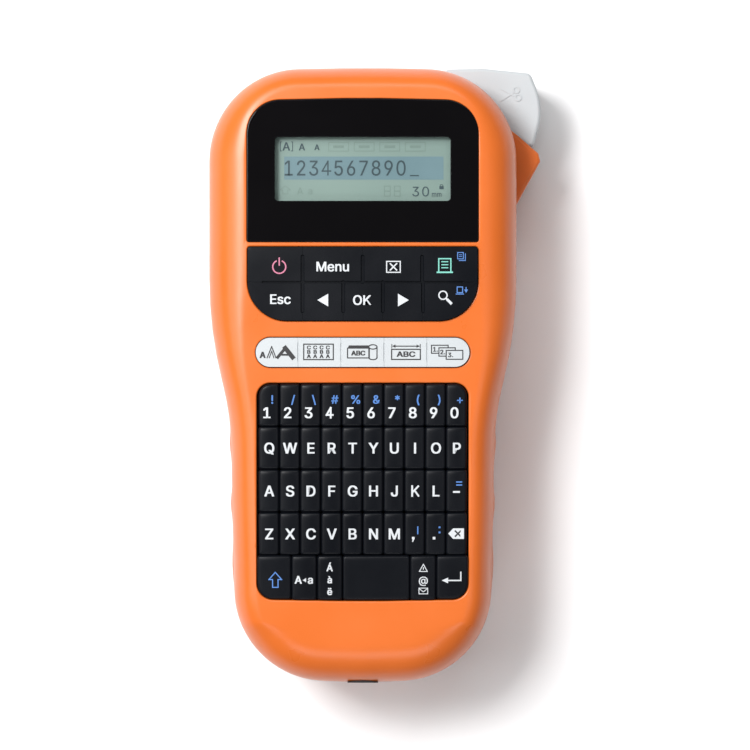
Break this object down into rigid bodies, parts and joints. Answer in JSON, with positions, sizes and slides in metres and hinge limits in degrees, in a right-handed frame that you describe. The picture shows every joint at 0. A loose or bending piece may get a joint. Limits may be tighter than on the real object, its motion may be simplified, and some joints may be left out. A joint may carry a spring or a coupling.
{
  "type": "label maker",
  "caption": "Hand-held electronic label maker with LCD window, navigation keys, function strip, letter keyboard and side cutter lever.",
  "frame": {"origin": "on the flat back rest face, on the body's centre plane, mid-length", "axes": "+X to the right of the key face, +Y up the body towards the display, +Z out of the key face"},
  "size_m": [0.1128, 0.2089, 0.059],
  "materials": {
    "orange_shell": "satin moulded ABS",
    "black_window": "polished acrylic",
    "clear_window": "clear acrylic",
    "lcd_glass": "reflective LCD",
    "key_black": "matte moulded keys",
    "white_plastic": "satin white ABS",
    "grey_frame": "moulded grey",
    "black_plastic": "moulded black",
    "pale_plastic": "natural acetal",
    "dark_rubber": "soft rubber",
    "circuit_board": "solder mask",
    "flex_film": "polyimide film",
    "steel": "brushed",
    "aluminium": "satin",
    "ceramic": "fired glaze",
    "brass": "machined",
    "tape_white": "laminated tape",
    "cell_jacket": "printed sleeve, plain"
  },
  "bodies": {
    "housing": {"front_shell": "orange_shell", "rear_shell": "orange_shell", "chassis": "grey_frame", "housing_screws": "steel", "display_window": "black_window", "window_pane": "clear_window", "lcd_panel": "lcd_glass", "lcd_holder": "pale_plastic", "lcd_flex": "flex_film", "main_board": "circuit_board", "key_membrane": "dark_rubber", "cutter_pin": "steel", "cutter_anvil": "steel", "cutter_spring": "steel", "head_hinge_pin": "steel", "drive_motor": "steel", "idler_post": "steel", "tape_cassette": "grey_frame", "label_tape": "tape_white", "battery_cells": "cell_jacket", "battery_contacts": "steel", "dc_jack": "black_plastic"},
    "cover": {"back_cover": "orange_shell"},
    "lever": {"cutter_lever": "white_plastic", "cutter_blade": "steel"},
    "head": {"print_head": "ceramic", "head_heat_sink": "aluminium", "head_carrier": "grey_frame"},
    "platen": {"platen_roller": "dark_rubber", "platen_gear": "pale_plastic"},
    "pinion": {"motor_pinion": "brass"},
    "idler": {"idler_gear": "pale_plastic"},
    "spindle": {"ribbon_spindle": "pale_plastic"},
    "roll": {"tape_roll": "tape_white"},
    "key_power": {"key_power": "key_black"},
    "key_menu": {"key_menu": "key_black"},
    "key_clear": {"key_clear": "key_black"},
    "key_print": {"key_print": "key_black"},
    "key_escape": {"key_escape": "key_black"},
    "key_left": {"key_left": "key_black"},
    "key_ok": {"key_ok": "key_black"},
    "key_right": {"key_right": "key_black"},
    "key_search": {"key_search": "key_black"},
    "key_text_size": {"key_text_size": "white_plastic"},
    "key_symbols": {"key_symbols": "white_plastic"},
    "key_cable_wrap": {"key_cable_wrap": "white_plastic"},
    "key_fixed_length": {"key_fixed_length": "white_plastic"},
    "key_numbering": {"key_numbering": "white_plastic"},
    "key_shift": {"key_shift": "key_black"},
    "key_capitals": {"key_capitals": "key_black"},
    "key_accents": {"key_accents": "key_black"},
    "key_space": {"key_space": "key_black"},
    "key_symbol": {"key_symbol": "key_black"},
    "key_enter": {"key_enter": "key_black"},
    "key_backspace": {"key_backspace": "key_black"},
    "keys_digits": {"keys_digits": "key_black"},
    "keys_upper": {"keys_upper": "key_black"},
    "keys_home": {"keys_home": "key_black"},
    "keys_lower": {"keys_lower": "key_black"}
  },
  "joints": [
    {"name": "cover_lift", "type": "slide", "parent": "housing", "child": "cover", "axis": [0, 0, -1], "range_m": [0, 0.045]},
    {"name": "lever_swing", "type": "hinge", "parent": "housing", "child": "lever", "pos_m": [0.0332, 0.09, 0.018], "axis": [0, 0, 1], "range_deg": [-13, 0], "stiffness_Nm_per_rad": 0.3, "springref_deg": 8.59},
    {"name": "head_swing", "type": "hinge", "parent": "housing", "child": "head", "pos_m": [0.02679, 0.08561, 0.015], "axis": [0, 0, 1], "range_deg": [0, 5], "stiffness_Nm_per_rad": 0.5, "springref_deg": -5.73},
    {"name": "idler_turn", "type": "hinge", "parent": "housing", "child": "idler", "pos_m": [0.01581, 0.06948, 0.028], "axis": [0, 0, 1], "continuous": true},
    {"name": "platen_turn", "type": "hinge", "parent": "housing", "child": "platen", "pos_m": [0.03015, 0.07414, 0.02], "axis": [0, 0, 1], "continuous": true},
    {"name": "pinion_turn", "type": "hinge", "parent": "housing", "child": "pinion", "pos_m": [0.01801, 0.08197, 0.028], "axis": [0, 0, 1], "continuous": true},
    {"name": "spindle_turn", "type": "hinge", "parent": "housing", "child": "spindle", "pos_m": [0.00051, 0.06391, 0.02], "axis": [0, 0, 1], "continuous": true},
    {"name": "roll_turn", "type": "hinge", "parent": "housing", "child": "roll", "pos_m": [-0.024, 0.061, 0.015], "axis": [0, 0, 1], "continuous": true},
    {"name": "press_power", "type": "slide", "parent": "housing", "child": "key_power", "axis": [0, 0, -1], "range_m": [0, 0.0008], "stiffness_N_per_m": 500, "springref_m": -0.001},
    {"name": "press_menu", "type": "slide", "parent": "housing", "child": "key_menu", "axis": [0, 0, -1], "range_m": [0, 0.0008], "stiffness_N_per_m": 500, "springref_m": -0.001},
    {"name": "press_clear", "type": "slide", "parent": "housing", "child": "key_clear", "axis": [0, 0, -1], "range_m": [0, 0.0008], "stiffness_N_per_m": 500, "springref_m": -0.001},
    {"name": "press_print", "type": "slide", "parent": "housing", "child": "key_print", "axis": [0, 0, -1], "range_m": [0, 0.0008], "stiffness_N_per_m": 500, "springref_m": -0.001},
    {"name": "press_escape", "type": "slide", "parent": "housing", "child": "key_escape", "axis": [0, 0, -1], "range_m": [0, 0.0008], "stiffness_N_per_m": 500, "springref_m": -0.001},
    {"name": "press_left", "type": "slide", "parent": "housing", "child": "key_left", "axis": [0, 0, -1], "range_m": [0, 0.0008], "stiffness_N_per_m": 500, "springref_m": -0.001},
    {"name": "press_ok", "type": "slide", "parent": "housing", "child": "key_ok", "axis": [0, 0, -1], "range_m": [0, 0.0008], "stiffness_N_per_m": 500, "springref_m": -0.001},
    {"name": "press_right", "type": "slide", "parent": "housing", "child": "key_right", "axis": [0, 0, -1], "range_m": [0, 0.0008], "stiffness_N_per_m": 500, "springref_m": -0.001},
    {"name": "press_search", "type": "slide", "parent": "housing", "child": "key_search", "axis": [0, 0, -1], "range_m": [0, 0.0008], "stiffness_N_per_m": 500, "springref_m": -0.001},
    {"name": "press_text_size", "type": "slide", "parent": "housing", "child": "key_text_size", "axis": [0, 0, -1], "range_m": [0, 0.0008], "stiffness_N_per_m": 500, "springref_m": -0.001},
    {"name": "press_symbols", "type": "slide", "parent": "housing", "child": "key_symbols", "axis": [0, 0, -1], "range_m": [0, 0.0008], "stiffness_N_per_m": 500, "springref_m": -0.001},
    {"name": "press_cable_wrap", "type": "slide", "parent": "housing", "child": "key_cable_wrap", "axis": [0, 0, -1], "range_m": [0, 0.0008], "stiffness_N_per_m": 500, "springref_m": -0.001},
    {"name": "press_fixed_length", "type": "slide", "parent": "housing", "child": "key_fixed_length", "axis": [0, 0, -1], "range_m": [0, 0.0008], "stiffness_N_per_m": 500, "springref_m": -0.001},
    {"name": "press_numbering", "type": "slide", "parent": "housing", "child": "key_numbering", "axis": [0, 0, -1], "range_m": [0, 0.0008], "stiffness_N_per_m": 500, "springref_m": -0.001},
    {"name": "press_shift", "type": "slide", "parent": "housing", "child": "key_shift", "axis": [0, 0, -1], "range_m": [0, 0.0008], "stiffness_N_per_m": 500, "springref_m": -0.001},
    {"name": "press_capitals", "type": "slide", "parent": "housing", "child": "key_capitals", "axis": [0, 0, -1], "range_m": [0, 0.0008], "stiffness_N_per_m": 500, "springref_m": -0.001},
    {"name": "press_accents", "type": "slide", "parent": "housing", "child": "key_accents", "axis": [0, 0, -1], "range_m": [0, 0.0008], "stiffness_N_per_m": 500, "springref_m": -0.001},
    {"name": "press_space", "type": "slide", "parent": "housing", "child": "key_space", "axis": [0, 0, -1], "range_m": [0, 0.0008], "stiffness_N_per_m": 500, "springref_m": -0.001},
    {"name": "press_symbol", "type": "slide", "parent": "housing", "child": "key_symbol", "axis": [0, 0, -1], "range_m": [0, 0.0008], "stiffness_N_per_m": 500, "springref_m": -0.001},
    {"name": "press_enter", "type": "slide", "parent": "housing", "child": "key_enter", "axis": [0, 0, -1], "range_m": [0, 0.0008], "stiffness_N_per_m": 500, "springref_m": -0.001},
    {"name": "press_backspace", "type": "slide", "parent": "housing", "child": "key_backspace", "axis": [0, 0, -1], "range_m": [0, 0.0008], "stiffness_N_per_m": 500, "springref_m": -0.001},
    {"name": "press_row_digits", "type": "slide", "parent": "housing", "child": "keys_digits", "axis": [0, 0, -1], "range_m": [0, 0.0008], "stiffness_N_per_m": 500, "springref_m": -0.001},
    {"name": "press_row_upper", "type": "slide", "parent": "housing", "child": "keys_upper", "axis": [0, 0, -1], "range_m": [0, 0.0008], "stiffness_N_per_m": 500, "springref_m": -0.001},
    {"name": "press_row_home", "type": "slide", "parent": "housing", "child": "keys_home", "axis": [0, 0, -1], "range_m": [0, 0.0008], "stiffness_N_per_m": 500, "springref_m": -0.001},
    {"name": "press_row_lower", "type": "slide", "parent": "housing", "child": "keys_lower", "axis": [0, 0, -1], "range_m": [0, 0.0008], "stiffness_N_per_m": 500, "springref_m": -0.001}
  ],
  "couplings": [
    {"joint": "platen_turn", "follows": "idler_turn", "ratio": -1.5},
    {"joint": "pinion_turn", "follows": "idler_turn", "ratio": -2.5},
    {"joint": "spindle_turn", "follows": "idler_turn", "ratio": -1.25}
  ]
}
